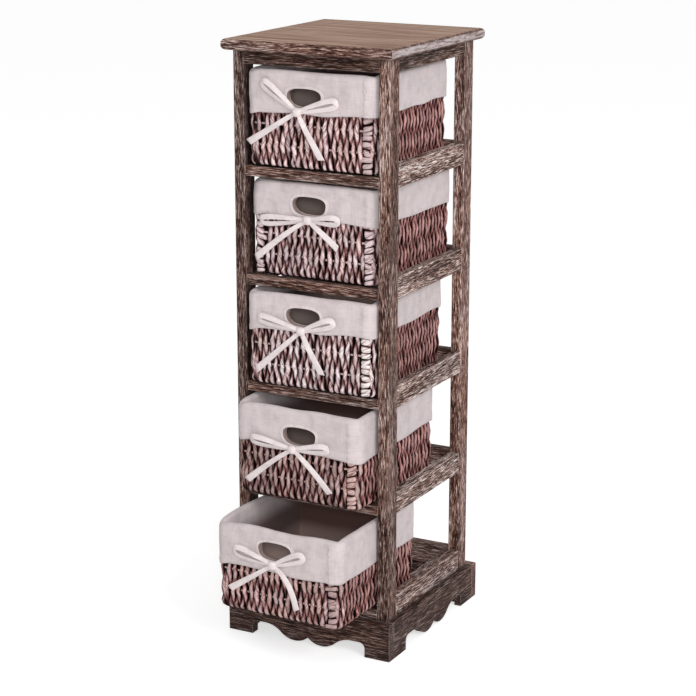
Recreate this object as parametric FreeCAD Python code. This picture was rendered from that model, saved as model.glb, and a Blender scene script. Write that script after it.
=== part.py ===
import FreeCAD, Part
import math
import os

# Basket shelf unit. Millimetres, X across the front, -Y towards the user, +Z up.
# The origin lies on the floor under the middle of the frame.

# Whole unit
width = 250.0
depth = 275.0
height = 820.0

# Top panel
top_thickness = 15.0
top_edge_radius = 6.0

# Posts
post_width = 16.0
post_depth = 26.0
post_edge_radius = 1.5

# Rails, aprons and runners
rail_thickness = 13.0
rail_setback = 1.0
rail_edge_radius = 1.2
front_rail_height = 14.0
side_rail_height = 30.0
guide_height = 14.0
apron_height = 18.0
runner_width = 22.0
runner_height = 10.0

# Tiers, counted from the top
tiers = 5
seat_above_plinth = 15.0

# Plinth boards with their scalloped lower edges
plinth_height = 51.0
plinth_front_thickness = 14.0
plinth_side_thickness = 10.0
plinth_edge_radius = 3.0
front_foot_width = 37.5
side_foot_width = 50.0
foot_corner_radius = 8.0
arch_height = 20.0
cusp_height = 10.5
lobe_clearance = 2.5
lobe_share = 0.24

# Dowels
dowel_diameter = 6.0
dowel_length = 16.0
plinth_dowel_length = 12.0
dowel_radial_gap = 0.1
dowel_end_gap = 0.5
plinth_dowel_level = 30.0

# Baskets
basket_side_clearance = 5.5
basket_front_inset = 10.5
basket_stop_gap = 5.0
basket_headroom = 9.0
basket_seat_gap = 0.3
basket_corner_radius = 12.0
basket_bottom_radius = 10.0
basket_wall = 6.0
least_corner_radius = 1.0
hoop_wire = 4.0

# Weave of the baskets, shown by the grooves between its upright strands, up to just under the cuff
strand_pitch = 7.0
groove_width = 3.0
groove_depth = 2.4
groove_under_cuff = 3.0

# Cotton liners
liner_thickness = 1.6
liner_gap = 0.3
cuff_depth = 50.0

# Hand holes, in the liner's cuff and, with a margin, in the basket behind it
hole_width = 50.0
hole_height = 25.0
hole_top_radius = 12.0
hole_bottom_radius = 7.0
hole_margin = 3.0

# Ribbon bows
ribbon_width = 8.0
ribbon_thickness = 1.6
loop_width = 12.0
loop_depth = 4.0
knot_width = 13.0
knot_height = 11.0
knot_depth = 7.0
knot_corner_radius = 2.5
knot_below_hole = 5.0

# How each basket stands, from the top one down: how far it is pulled out, and the shares of its
# side clearance that its skew and its sideways shift take up
pull_out = [9.0, 1.0, 17.0, 45.0, 102.0]
skew_share = [-0.2, 0.5, -0.6, 0.75, 0.5]
shift_share = [-0.2, 0.2, -0.2, -0.1, 0.2]

# What differs from basket to basket: the hand hole's place across the front and below the rim, the
# knot's place across the hole, and the bow's tips as left loop, right loop, left tail and right tail,
# each as a share of the basket's half width from its middle and a height above the knot
hole_offset = [-9.0, -6.0, -9.0, 4.0, -4.0]
hole_below_rim = [18.0, 13.0, 12.0, 20.0, 17.0]
knot_offset = [-8.0, 0.0, -1.0, -8.0, -1.0]
bow_tips = [
    [(-0.72, 36.0), (0.43, 15.0), (-0.96, -44.0), (0.19, -60.0)],
    [(-0.81, -6.0), (0.42, 3.0), (-0.92, -58.0), (0.41, -34.0)],
    [(-0.77, 12.0), (0.40, 17.0), (-0.83, -60.0), (0.21, -56.0)],
    [(-0.71, 6.0), (0.52, 8.0), (-0.81, -54.0), (0.56, -53.0)],
    [(-0.67, 12.0), (0.44, 20.0), (-0.77, -45.0), (0.33, -57.0)],
]

# Derived sizes of the frame
post_outer_x = width / 2 - plinth_side_thickness
post_outer_y = depth / 2 - plinth_front_thickness
post_inner_x = post_outer_x - post_width
post_inner_y = post_outer_y - post_depth
post_middle_x = post_outer_x - post_width / 2
post_middle_y = post_outer_y - post_depth / 2
rail_outer_x = post_outer_x - rail_setback
rail_outer_y = post_outer_y - rail_setback
rear_stop_y = post_middle_y - rail_thickness / 2
top_underside = height - top_thickness
apron_bottom = top_underside - apron_height
first_level = plinth_height + seat_above_plinth
tier_pitch = (apron_bottom + front_rail_height - first_level) / tiers

# Derived sizes of the baskets
basket_half_x = post_inner_x - basket_side_clearance
closed_rear_y = rear_stop_y - basket_stop_gap
closed_front_y = basket_front_inset - post_outer_y
basket_half_y = (closed_rear_y - closed_front_y) / 2
lined_height = tier_pitch - front_rail_height - basket_headroom
basket_height = lined_height - liner_thickness - hoop_wire
cuff_grow = liner_gap + liner_thickness
cuff_front_y = -(basket_half_y + cuff_grow)

X_AXIS = FreeCAD.Vector(1, 0, 0)
Y_AXIS = FreeCAD.Vector(0, 1, 0)
Z_AXIS = FreeCAD.Vector(0, 0, 1)
ORIGIN = FreeCAD.Vector(0, 0, 0)

pieces = {}
dowels = []
bores = {}


def level(tier):
    """Height of the surface that carries the basket of a tier, tier 1 being the top one."""
    return first_level + (tiers - tier) * tier_pitch


def box(x_range, y_range, z_range):
    """A block between two values on each axis."""
    low = FreeCAD.Vector(x_range[0], y_range[0], z_range[0])
    return Part.makeBox(
        x_range[1] - x_range[0], y_range[1] - y_range[0], z_range[1] - z_range[0], low
    )


def edges_along(shape, axis):
    """The straight edges of a shape that run along an axis."""
    found = []
    for edge in shape.Edges:
        if isinstance(edge.Curve, (Part.Line, Part.LineSegment)):
            if abs(abs(edge.tangentAt(edge.FirstParameter).dot(axis)) - 1) < 1e-6:
                found.append(edge)
    return found


def edges_at_height(shape, z):
    """The edges of a shape that lie flat at one height."""
    return [
        edge
        for edge in shape.Edges
        if abs(edge.BoundBox.ZMin - z) < 1e-6 and abs(edge.BoundBox.ZMax - z) < 1e-6
    ]


def bar(x_range, y_range, z_range, axis, radius):
    """A wooden bar whose long edges are eased."""
    block = box(x_range, y_range, z_range)
    return block.makeFillet(radius, edges_along(block, axis))


def add_dowel(first, second, middle, axis, length):
    """A dowel across the joint of two pieces, with its bore in both of them."""
    dowels.append(
        Part.makeCylinder(dowel_diameter / 2, length, middle - axis * (length / 2), axis)
    )
    bore_length = length + 2 * dowel_end_gap
    bore = Part.makeCylinder(
        dowel_diameter / 2 + dowel_radial_gap, bore_length, middle - axis * (bore_length / 2), axis
    )
    bores.setdefault(first, []).append(bore)
    bores.setdefault(second, []).append(bore)


def post_name(side_x, side_y):
    """The name of the post at a corner of the frame."""
    return ("front" if side_y < 0 else "rear") + ("_left" if side_x < 0 else "_right") + "_post"


def span(side, inner, outer):
    """The range between two distances from the middle, on one side of it."""
    return (inner, outer) if side > 0 else (-outer, -inner)


def make_top():
    """The top panel, rounded along all its edges, on four upright dowels."""
    panel = box((-width / 2, width / 2), (-depth / 2, depth / 2), (top_underside, height))
    rims = edges_at_height(panel, height) + edges_at_height(panel, top_underside)
    pieces["top_panel"] = panel.makeFillet(top_edge_radius, rims)


def make_posts():
    """The four posts, from the floor to the underside of the top."""
    for side_x in (-1, 1):
        for side_y in (-1, 1):
            name = post_name(side_x, side_y)
            pieces[name] = bar(
                span(side_x, post_inner_x, post_outer_x),
                span(side_y, post_inner_y, post_outer_y),
                (0, top_underside),
                Z_AXIS,
                post_edge_radius,
            )
            head = FreeCAD.Vector(side_x * post_middle_x, side_y * post_middle_y, top_underside)
            add_dowel(name, "top_panel", head, Z_AXIS, dowel_length)


def make_cross_bar(name, side_y, y_range, z_range, dowel_z):
    """A rail or apron that runs across, between the two front or the two rear posts."""
    pieces[name] = bar(
        (-post_inner_x, post_inner_x), y_range, z_range, X_AXIS, rail_edge_radius
    )
    for side_x in (-1, 1):
        end = FreeCAD.Vector(side_x * post_inner_x, sum(y_range) / 2, dowel_z)
        add_dowel(name, post_name(side_x, side_y), end, X_AXIS, dowel_length)


def make_side_bar(name, side_x, outer_x, z_range, dowel_levels):
    """A rail or apron that runs from the front post to the rear post of one side."""
    pieces[name] = bar(
        span(side_x, outer_x - rail_thickness, outer_x),
        (-post_inner_y, post_inner_y),
        z_range,
        Y_AXIS,
        rail_edge_radius,
    )
    for side_y in (-1, 1):
        for dowel_z in dowel_levels:
            middle_x = side_x * (outer_x - rail_thickness / 2)
            end = FreeCAD.Vector(middle_x, side_y * post_inner_y, dowel_z)
            add_dowel(name, post_name(side_x, side_y), end, Y_AXIS, dowel_length)


def make_aprons():
    """The four aprons under the top panel."""
    z_range = (apron_bottom, top_underside)
    dowel_z = apron_bottom + apron_height / 4
    for label, side_y in (("front", -1), ("rear", 1)):
        y_range = span(side_y, rail_outer_y - rail_thickness, rail_outer_y)
        make_cross_bar(label + "_apron", side_y, y_range, z_range, dowel_z)
    for label, side_x in (("left", -1), ("right", 1)):
        make_side_bar(label + "_apron", side_x, rail_outer_x, z_range, [dowel_z])


def make_tier(tier):
    """The rails and runner strips under one basket. The lowest rails lie against the plinth boards."""
    seat = level(tier)
    guide_z = (seat + guide_height - side_rail_height, seat + guide_height)
    middle_z = sum(guide_z) / 2
    outer_x, outer_y = rail_outer_x, rail_outer_y
    front_z = (seat - front_rail_height, seat)
    if tier == tiers:
        outer_x, outer_y = post_outer_x, post_outer_y
        front_z = (guide_z[0], seat)
    inner_x = outer_x - rail_thickness
    front_y = span(-1, outer_y - rail_thickness, outer_y)
    make_cross_bar("front_rail_%d" % tier, -1, front_y, front_z, sum(front_z) / 2)
    rear_y = (rear_stop_y, rear_stop_y + rail_thickness)
    make_cross_bar("rear_rail_%d" % tier, 1, rear_y, guide_z, middle_z)
    dowel_levels = [middle_z - side_rail_height / 4, middle_z + side_rail_height / 4]
    strips = []
    for label, side_x in (("left", -1), ("right", 1)):
        make_side_bar("%s_rail_%d" % (label, tier), side_x, outer_x, guide_z, dowel_levels)
        strips.append(
            box(
                span(side_x, inner_x - runner_width, inner_x),
                (-post_inner_y, post_inner_y),
                (seat - runner_height, seat),
            )
        )
    pieces["runners_%d" % tier] = Part.makeCompound(strips)


def scallop_points(half_span):
    """One half of the lower edge, from the cusp in the middle to the foot: points and arc middles."""
    lobe = lobe_share * half_span
    drop = cusp_height - lobe_clearance
    lobe_radius = (lobe * lobe + drop * drop) / (2 * drop)
    turn = math.asin(lobe / lobe_radius)
    ogee_radius = (arch_height - cusp_height) / (1 - math.cos(turn))
    arch_start = 2 * lobe + ogee_radius * math.sin(turn)
    ogee_middle = (
        arch_start - ogee_radius * math.sin(turn / 2),
        arch_height - ogee_radius * (1 - math.cos(turn / 2)),
    )
    corner = foot_corner_radius
    bevel = corner * (1 - math.sqrt(0.5))
    return [
        ((0, cusp_height), (lobe, lobe_clearance)),
        ((2 * lobe, cusp_height), ogee_middle),
        ((arch_start, arch_height), None),
        ((half_span - corner, arch_height), (half_span - bevel, arch_height - bevel)),
        ((half_span, arch_height - corner), None),
        ((half_span, 0), None),
    ]


def scalloped_face(half_length, half_span, place):
    """The outline of a plinth board as a face. place turns a point along and up into 3-D."""
    edges = []
    for side in (-1, 1):
        outline = scallop_points(half_span)
        outline.append(((half_length, 0), None))
        outline.append(((half_length, plinth_height), None))
        for (start, via), (end, _) in zip(outline, outline[1:]):
            first = place(side * start[0], start[1])
            last = place(side * end[0], end[1])
            if via is None:
                edges.append(Part.LineSegment(first, last).toShape())
            else:
                edges.append(Part.Arc(first, place(side * via[0], via[1]), last).toShape())
    edges.append(
        Part.LineSegment(
            place(-half_length, plinth_height), place(half_length, plinth_height)
        ).toShape()
    )
    return Part.Face(Part.Wire(Part.__sortEdges__(edges)))


def ease_top_edge(board, outer, axis):
    """Round the outer top edge of a plinth board. outer tells how far out a point lies."""
    rims = [
        edge
        for edge in edges_along(board, axis)
        if abs(edge.BoundBox.ZMin - plinth_height) < 1e-6
    ]
    rim = max(rims, key=lambda edge: outer(edge.CenterOfMass))
    return board.makeFillet(plinth_edge_radius, [rim])


def make_plinth():
    """The plinth: front and rear boards over the full width, side boards between them."""
    for label, side_y in (("front", -1), ("rear", 1)):
        name = "plinth_" + label
        y = side_y * post_outer_y
        face = scalloped_face(
            width / 2, width / 2 - front_foot_width, lambda u, z: FreeCAD.Vector(u, y, z)
        )
        board = face.extrude(Y_AXIS * (side_y * plinth_front_thickness))
        pieces[name] = ease_top_edge(board, lambda p: side_y * p.y, X_AXIS)
        for side_x in (-1, 1):
            joint = FreeCAD.Vector(side_x * post_middle_x, y, plinth_dowel_level)
            add_dowel(name, post_name(side_x, side_y), joint, Y_AXIS, plinth_dowel_length)
    for label, side_x in (("left", -1), ("right", 1)):
        name = "plinth_" + label
        x = side_x * post_outer_x
        face = scalloped_face(
            post_outer_y, depth / 2 - side_foot_width, lambda u, z: FreeCAD.Vector(x, u, z)
        )
        board = face.extrude(X_AXIS * (side_x * plinth_side_thickness))
        pieces[name] = ease_top_edge(board, lambda p: side_x * p.x, Y_AXIS)
        for side_y in (-1, 1):
            joint = FreeCAD.Vector(x, side_y * post_middle_y, plinth_dowel_level)
            add_dowel(name, post_name(side_x, side_y), joint, X_AXIS, plinth_dowel_length)


def tray_block(grow, z_range):
    """A block with the basket's rounded plan, grown or shrunk all round by one amount."""
    half_x = basket_half_x + grow
    half_y = basket_half_y + grow
    block = box((-half_x, half_x), (-half_y, half_y), z_range)
    radius = max(basket_corner_radius + grow, least_corner_radius)
    return block.makeFillet(radius, edges_along(block, Z_AXIS))


def hole_bottom(tier):
    """Height of the lower edge of a basket's hand hole above the basket's underside."""
    return lined_height - hole_below_rim[tier - 1] - hole_height


def hand_hole(tier, margin):
    """The cutter for the hand hole in the front wall, larger all round by a margin."""
    middle = hole_offset[tier - 1]
    half = hole_width / 2 + margin
    low = hole_bottom(tier) - margin
    high = hole_bottom(tier) + hole_height + margin
    cutter = box(
        (middle - half, middle + half),
        (2 * cuff_front_y, -basket_half_y + 2 * basket_wall),
        (low, high),
    )
    for edge_z, radius in ((high, hole_top_radius), (low, hole_bottom_radius)):
        corners = [
            edge
            for edge in edges_along(cutter, Y_AXIS)
            if abs(edge.BoundBox.ZMin - edge_z) < 1e-6
            and abs(abs(edge.BoundBox.XMin - middle) - half) < 1e-6
        ]
        cutter = cutter.makeFillet(radius + margin, corners)
    return cutter


def groove(out, along, heading):
    """The cutter for one groove, at a distance out and along a wall that faces a heading in degrees."""
    low = -groove_depth
    corners = [(-groove_depth, 0), (groove_depth, groove_width), (groove_depth, -groove_width)]
    points = [FreeCAD.Vector(out + x, along + y, low) for x, y in corners + corners[:1]]
    top = lined_height - cuff_depth + groove_under_cuff
    cutter = Part.Face(Part.makePolygon(points)).extrude(Z_AXIS * (top - low))
    cutter.rotate(ORIGIN, Z_AXIS, heading)
    return cutter


def weave_grooves():
    """The cutters round a basket, evenly spaced along its walls and round its corners."""
    run_x = basket_half_x - basket_corner_radius
    run_y = basket_half_y - basket_corner_radius
    cutters = []
    for turn in range(4):
        run, out = ((run_y, basket_half_x), (run_x, basket_half_y))[turn % 2]
        count = max(1, round(2 * run / strand_pitch))
        for step in range(count + 1):
            cutters.append(groove(out, run * (2 * step / count - 1), 90 * turn))
    count = max(1, round(math.pi / 2 * basket_corner_radius / strand_pitch))
    for turn, (sign_x, sign_y) in enumerate(((1, 1), (-1, 1), (-1, -1), (1, -1))):
        for step in range(1, count):
            cutter = groove(basket_corner_radius, 0, 90 * (turn + step / count))
            cutter.translate(FreeCAD.Vector(sign_x * run_x, sign_y * run_y, 0))
            cutters.append(cutter)
    return Part.makeCompound(cutters)


def make_woven_tray():
    """The basket without its hand hole: rounded, grooved walls on a flat floor, open on top."""
    shell = tray_block(0, (0, basket_height))
    shell = shell.makeFillet(basket_bottom_radius, edges_at_height(shell, 0))
    inside = tray_block(-basket_wall, (basket_wall, 2 * basket_height))
    return shell.cut(inside).cut(weave_grooves())


def make_hoop():
    """The steel hoop that lies on the rim: four straight wires and four bent corners."""
    wire = hoop_wire / 2
    inset = basket_wall / 2
    bend = basket_corner_radius - inset
    z = basket_height + wire
    run_x = basket_half_x - basket_corner_radius
    run_y = basket_half_y - basket_corner_radius
    side_x = basket_half_x - inset
    side_y = basket_half_y - inset
    parts = []
    for sign in (-1, 1):
        along_x = FreeCAD.Vector(-run_x, sign * side_y, z)
        along_y = FreeCAD.Vector(sign * side_x, -run_y, z)
        parts.append(Part.makeCylinder(wire, 2 * run_x, along_x, X_AXIS))
        parts.append(Part.makeCylinder(wire, 2 * run_y, along_y, Y_AXIS))
    for turn, (sign_x, sign_y) in enumerate(((1, 1), (-1, 1), (-1, -1), (1, -1))):
        corner = Part.makeTorus(bend, wire, ORIGIN, Z_AXIS, -180, 180, 90)
        corner.rotate(ORIGIN, Z_AXIS, 90 * turn)
        corner.translate(FreeCAD.Vector(sign_x * run_x, sign_y * run_y, z))
        parts.append(corner)
    return parts[0].fuse(parts[1:]).removeSplitter()


def make_liner(tier):
    """The cotton liner: lining and floor inside, folded over the rim into the cuff outside."""
    rim = basket_height + hoop_wire
    cuff = tray_block(cuff_grow, (lined_height - cuff_depth, lined_height))
    lining = tray_block(-basket_wall - liner_gap, (basket_wall, lined_height))
    wall_space = tray_block(liner_gap, (0, rim))
    wall_space = wall_space.cut(tray_block(-basket_wall - liner_gap, (0, rim)))
    hollow = tray_block(
        -basket_wall - cuff_grow, (basket_wall + liner_thickness, 2 * lined_height)
    )
    cloth = cuff.fuse(lining).cut(wall_space).cut(hollow)
    return cloth.cut(hand_hole(tier, 0)).removeSplitter()


def ribbon(start, end, wide, deep):
    """A flat strip of ribbon on the front of the cuff, from one point to another."""
    run = FreeCAD.Vector(end[0] - start[0], 0, end[1] - start[1])
    strip = box((0, run.Length), (-deep, 0), (-wide / 2, wide / 2))
    strip.rotate(ORIGIN, Y_AXIS, -math.degrees(math.atan2(run.z, run.x)))
    strip.translate(FreeCAD.Vector(start[0], cuff_front_y, start[1]))
    return strip


def make_loop(knot, tip):
    """One loop of a bow: a flattened ring of ribbon that stands off the cuff."""
    run_x = tip[0] - knot[0]
    run_z = tip[1] - knot[1]
    length = math.hypot(run_x, run_z)
    outer = ribbon(knot, tip, loop_width, loop_depth)
    outer = outer.makeFillet(loop_width / 2 - ribbon_thickness, edges_along(outer, Y_AXIS))
    near = knot_width / 2 / length
    far = 1 - ribbon_width / 2 / length
    gap = ribbon(
        (knot[0] + run_x * near, knot[1] + run_z * near),
        (knot[0] + run_x * far, knot[1] + run_z * far),
        loop_width - ribbon_width,
        2 * loop_depth,
    )
    gap.translate(Y_AXIS * (loop_depth / 2))
    return outer.cut(gap)


def make_bow(tier):
    """The ribbon bow: a knot below the hand hole, two loops and two tails."""
    knot = (
        hole_offset[tier - 1] + knot_offset[tier - 1],
        hole_bottom(tier) - knot_below_hole,
    )
    tips = [(share * basket_half_x, knot[1] + rise) for share, rise in bow_tips[tier - 1]]
    block = box(
        (knot[0] - knot_width / 2, knot[0] + knot_width / 2),
        (cuff_front_y - knot_depth, cuff_front_y),
        (knot[1] - knot_height / 2, knot[1] + knot_height / 2),
    )
    block = block.makeFillet(knot_corner_radius, edges_along(block, Y_AXIS))
    loops = [make_loop(knot, tip) for tip in tips[:2]]
    tails = [ribbon(knot, tip, ribbon_width, ribbon_thickness) for tip in tips[2:]]
    return block.fuse(loops + tails).removeSplitter()


def place_basket(tier, shape):
    """Set a piece of a basket where the basket stands in its tier."""
    free = basket_side_clearance - cuff_grow
    index = tier - 1
    skew = -math.degrees(math.asin(skew_share[index] * free / basket_half_y))
    shape.rotate(ORIGIN, Z_AXIS, skew)
    shape.translate(
        FreeCAD.Vector(
            shift_share[index] * free,
            closed_rear_y - basket_half_y - pull_out[index],
            level(tier) + basket_seat_gap,
        )
    )
    return shape


def make_baskets():
    """The baskets, each with its hoop, liner and bow."""
    tray = make_woven_tray()
    for tier in range(1, tiers + 1):
        basket = tray.cut(hand_hole(tier, hole_margin))
        pieces["basket_%d" % tier] = place_basket(tier, basket)
        pieces["rim_hoop_%d" % tier] = place_basket(tier, make_hoop())
        pieces["liner_%d" % tier] = place_basket(tier, make_liner(tier))
        pieces["bow_%d" % tier] = place_basket(tier, make_bow(tier))


def main():
    """Build every piece, bore the joints and write one file per piece."""
    make_top()
    make_posts()
    make_aprons()
    for tier in range(1, tiers + 1):
        make_tier(tier)
    make_plinth()
    make_baskets()
    for name, holes in bores.items():
        pieces[name] = pieces[name].cut(holes)
    pieces["dowels"] = Part.makeCompound(dowels)
    os.makedirs("parts", exist_ok=True)
    for name, shape in pieces.items():
        shape.exportStep("parts/%s.step" % name)


main()
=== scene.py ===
import math
import random
from types import SimpleNamespace

import bpy
import numpy as np
from mathutils import Matrix, Vector, noise


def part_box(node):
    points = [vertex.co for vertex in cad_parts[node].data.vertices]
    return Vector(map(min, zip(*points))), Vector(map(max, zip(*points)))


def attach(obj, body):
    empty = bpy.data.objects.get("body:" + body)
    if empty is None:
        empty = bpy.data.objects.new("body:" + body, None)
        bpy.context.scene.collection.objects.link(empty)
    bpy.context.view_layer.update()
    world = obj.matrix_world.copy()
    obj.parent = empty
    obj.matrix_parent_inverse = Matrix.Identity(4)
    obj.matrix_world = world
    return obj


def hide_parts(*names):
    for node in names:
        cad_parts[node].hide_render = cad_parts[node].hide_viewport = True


# Basket shelf unit: brushed dark wood, five woven baskets, cotton liners with folded cuffs and ribbon bows.
# Lengths are metres, baskets are numbered from the top, and each basket is modelled in its own frame:
# origin under the middle of its floor, X to the right, Y to the back, Z up.

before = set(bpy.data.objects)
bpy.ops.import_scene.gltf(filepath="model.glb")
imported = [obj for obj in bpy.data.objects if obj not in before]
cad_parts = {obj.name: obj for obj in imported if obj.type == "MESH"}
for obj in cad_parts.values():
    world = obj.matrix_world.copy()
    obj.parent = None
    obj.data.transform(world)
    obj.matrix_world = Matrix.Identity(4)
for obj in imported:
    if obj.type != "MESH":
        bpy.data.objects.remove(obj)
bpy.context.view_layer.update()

MM = 0.001
TIERS = (1, 2, 3, 4, 5)
FULL_TURN = 6.28
FORWARD = np.array([0.0, -1.0, 0.0])
RIGHT = np.array([1.0, 0.0, 0.0])
UPWARD = np.array([0.0, 0.0, 1.0])
WHITE = (1.0, 1.0, 1.0)

# Camera, fitted to the corners of the top, the plinth, the posts and the rails
CAMERA_PLACE = (1.2817, -2.4114, 1.1273)
CAMERA_YAW = 28.20
CAMERA_PITCH = 15.14
CAMERA_LENS = 106.3
CAMERA_SENSOR = 36.0

# Stage: lamps by name, place, size and power, and the light of the surround and of the floor
LAMPS = (("key_lamp", (3.0, -1.8, 2.2), 1.4, 52), ("front_lamp", (1.3, -2.5, 1.2), 0.3, 24))
LAMP_AIM = Vector((0, -0.04, 0.42))
SURROUND_LIGHT = 0.48
FLOOR_HALF = 30.0
FLOOR_GLOW = 0.56

# Basket walls
CORNER_RADIUS = 12 * MM
BOTTOM_RADIUS = 7 * MM
WALL_MIDDLE = 3.4 * MM
FLOOR_MIDDLE = 3.6 * MM

# Weave: upright strands over and under level rods, those of the front running on under the floor
FRONT_STRANDS = 31
FRONT_PITCH = 4.75 * MM
SIDE_STRANDS = 40
CORNER_STRAND_ANGLES = (40, 62, 82)
PLACE_JITTER = 0.4 * MM
PHASE_JITTER = 0.4
WEAVE_TOP_GAP = 1 * MM
HOLE_CLEARANCE = 4 * MM
STRAND_BELOW_HOLE = 3 * MM
STRAND_HALF_WIDTH = 3.9 * MM
STRAND_HALF_DEPTH = 2.1 * MM
STRAND_SIZES = (0.86, 1.12)
STRAND_LEAN = 1.6 * MM
STRAND_WANDER = 0.4 * MM
WANDER_LENGTHS = (12 * MM, 30 * MM)
STRAND_STEP = 3 * MM
FLOOR_STEP = 8 * MM
EDGE_STEPS = 6
STRAND_SIDES = 8
TWIST_LENGTHS = (22 * MM, 44 * MM)
TWIST_LOBE = 0.16
WEAVE_SWING = 1.9 * MM
FLOOR_CALM = 0.75
ROD_SPACING = 28 * MM
FIRST_ROD = 29 * MM
ROD_RADIUS = 1.9 * MM
ROD_INSET = 3.8 * MM
ROD_STEPS = (24, 4)
BASE_ROD_RADIUS = 2.1 * MM
BASE_ROD_HEIGHT = 2.5 * MM
BASE_ROD_INSET = 5.6 * MM
# rings of the dark core behind the strands, painted shade in the gaps: inset and height in millimetres, or
# up to the hand hole
CORE_RINGS = ((9, 1.6), (5.6, 6.0), (5.6, None), (6.4, None), (6.4, 6.0), (9, 2.8))
CORE_RADIUS = 8 * MM
CORE_STEPS = (6, 4)
CORE_BELOW_HOLE = 2 * MM

# Wraps at the front right and rear left edges, and narrower ones at the front left of some baskets.
# Strands fill the other edges.
WRAP_INSET = 12.5 * MM
WRAP_PITCH = 8.2 * MM
WRAP_FOOT = 4.9 * MM
WRAP_FOOT_ROOM = 0.4 * MM
WRAP_HALF_WIDTH = 4.6 * MM
WRAP_HALF_DEPTH = 1.5 * MM
BEAD_WIDTH = 4.2 * MM
BEAD_DEPTH = 2.3 * MM
WRAP_POINTS = 16
WRAP_TWIST = 0.6
WRAP_RISES = (0.65, 1.35)
WRAP_SLANTS = (-0.8 * MM, 2.6 * MM)
WRAP_REACH = 0.6 * MM
WRAP_LONG_REACH = 5 * MM
WRAP_LONG_SHARE = 0.12
LEFT_WRAP_TIERS = (2,)
LEFT_WRAP_WIDTH = 0.7
LEFT_WRAP_SHIFT = 2.5 * MM
FILL_STRANDS = 2
FILL_ANGLE = 18

# Wicker: front strands of each basket, then the duller strands of the sides and the painted shade of the
# gaps
FRONT_WICKER = np.array([
    (242, 214, 214), (232, 210, 212), (250, 230, 232), (208, 179, 176), (226, 194, 192)])
SIDE_WICKER = np.array([202, 158, 155])
GAP_SHADE_WICKER = (24, 3, 2)

# Hand hole in the front of each basket: middle, drop of its top under the rim, size
HOLE_OFFSETS = (-9, -6, -9, 4, -4)
HOLE_DROPS = (18, 13, 12, 20, 17)
HOLE_HALF_WIDTH = 25 * MM
HOLE_HALF_HEIGHT = 12.5 * MM
HOLE_POWER = 2.7
HOLE_TAPER = 0.07
HOLE_POINTS = 72

# Liner: points along each side and corner, rows up the cuff, over the rim and down the lining
LINER_STEPS = (84, 8)
CUFF_ROWS = 20
RIM_ROWS = 8
LINING_ROWS = 26
CLOTH_THICKNESS = 0.9 * MM
CUFF_OFFSET = 1.6 * MM
LINING_OFFSET = -7.7 * MM
LINING_FLOOR = 7.5 * MM
LINING_FOOT = 15.5 * MM
LINING_SLACK = 0.8 * MM
# inset from the lining and height over its floor, in millimetres
FLOOR_RINGS = ((0.8, 4.5), (2.6, 2.0), (6.0, 0.6), (11, 0), (25, 0), (45, 0), (65, 0))
# depths under the rim and what the lining is there, 0 for white, 1 for a brown band of painted shade and 2
# for pale
LINING_BANDS = (10 * MM, 42 * MM, 60 * MM, 110 * MM)
UPPER_LINING = (0, 2, 2, 2)
SHADED_LOWER_LINING = (0, 1, 1, 2)
# tiers whose lining has the brown band of painted shade
SHADED_LINING_TIERS = (4, 5)
# cuff depth in millimetres at the front left, front right, rear right and rear left corners
CUFF_DEPTHS = ((55, 52, 50, 52), (44, 48, 48, 46), (50, 45, 46, 48), (50, 60, 52, 50), (56, 59, 56, 54))

# Soft shape of the cuff: how far its rim stands up, waves and sinks at the left and right corners
RIM_RISE = 4.6 * MM
RIM_LIFTS = (3.6, 3.8, 3.8, 3.2, -0.2)
RIM_WAVES = (1.6, 1.6, 1.6, 2.0, 2.8)
RIM_SPACING = 50 * MM
LEFT_DIP = 4.5 * MM
RIGHT_DIP = 0.9 * MM
DIP_REACH = 11 * MM
# waves of the hem, and folds and creases of the cloth: height and spacing
HEM_DEPTH = 6 * MM
HEM_BELLY = 0.5 * MM
HEM_WAVE = 2.2 * MM
HEM_SPACING = 40 * MM
CUFF_BELLY = 0.7 * MM
BROAD_FOLD = 1.7 * MM
BROAD_SPACING = 30 * MM
SMALL_FOLD = 0.45 * MM
SMALL_SPACING = 10 * MM
CREASE_HEIGHT = 0.55 * MM
LEVEL_CREASE = (50 * MM, 11 * MM)
UPRIGHT_CREASE = (12 * MM, 60 * MM)
# the two puckered seams of the cuff
SEAM_INSET = 14 * MM
SEAM_HALF_WIDTH = 1.1 * MM
PUCKER_REACH = 3.5 * MM
PUCKER_LENGTH = 1.3 * MM
PUCKER_SPACING = 12 * MM

# Trim: bands round the hand hole by offset, half width and half depth in millimetres, sleeve tinted dark as
# painted shade, and stitches
HOLE_BANDS = ((2.2, 2.2, 0.6), (0.8, 0.8, 1.0))
SLEEVE_OFFSET = 1.0 * MM
SLEEVE_HALF_WIDTH = 0.5 * MM
SLEEVE_SHADE_TINT = (0.44, 0.36, 0.33)
STITCH_OFFSET = 4.2 * MM
STITCH_LIFT = 0.60 * MM
STITCH_RADIUS = 0.28 * MM
STITCH_BOW = 0.15 * MM
STITCH_SHARE = 0.62
SEAM_STITCH_RADIUS = 0.6 * MM

# Bows: knot from the middle of the hole, then the ends of the left and right loops and tails, as a share of
# the basket's half width and millimetres above the knot
KNOT_OFFSETS = (-8, 0, -1, -8, -1)
KNOT_BELOW_HOLE = 5 * MM
BOW_TIPS = (
    ((-0.72, 36), (0.43, 15), (-0.96, -44), (0.19, -60)),
    ((-0.81, -6), (0.42, 3), (-0.92, -58), (0.41, -34)),
    ((-0.77, 12), (0.40, 17), (-0.83, -60), (0.21, -56)),
    ((-0.71, 6), (0.52, 8), (-0.81, -54), (0.56, -53)),
    ((-0.67, 12), (0.44, 20), (-0.77, -45), (0.33, -57)),
)
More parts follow.
